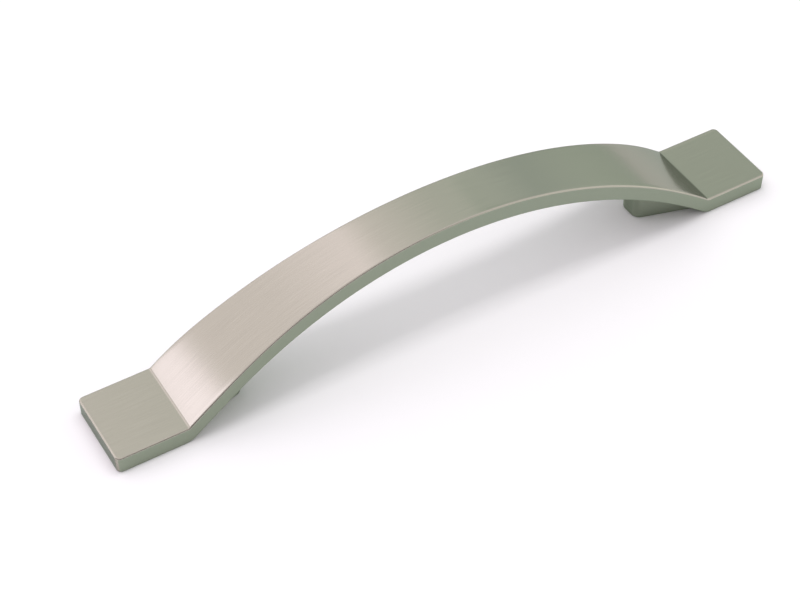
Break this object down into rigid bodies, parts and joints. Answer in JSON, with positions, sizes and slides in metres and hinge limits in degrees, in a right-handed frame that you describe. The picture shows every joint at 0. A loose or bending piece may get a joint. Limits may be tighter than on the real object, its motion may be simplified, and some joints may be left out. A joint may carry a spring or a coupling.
{
  "type": "cabinet handle",
  "caption": "Arched cabinet handle: a waisted strap between two flat square tabs, screwed on from behind through blind tapped holes in two feet.",
  "frame": {"origin": "on the door's face, halfway between the two tapped holes", "axes": "+X along the handle's length, +Z away from the door, +Y across the width"},
  "size_m": [0.178, 0.0208, 0.0296],
  "materials": {
    "brushed_nickel": "zinc alloy casting, nickel plated and brushed along its length to a warm satin"
  },
  "bodies": {
    "root": {"handle_casting": "brushed_nickel"}
  },
  "joints": []
}
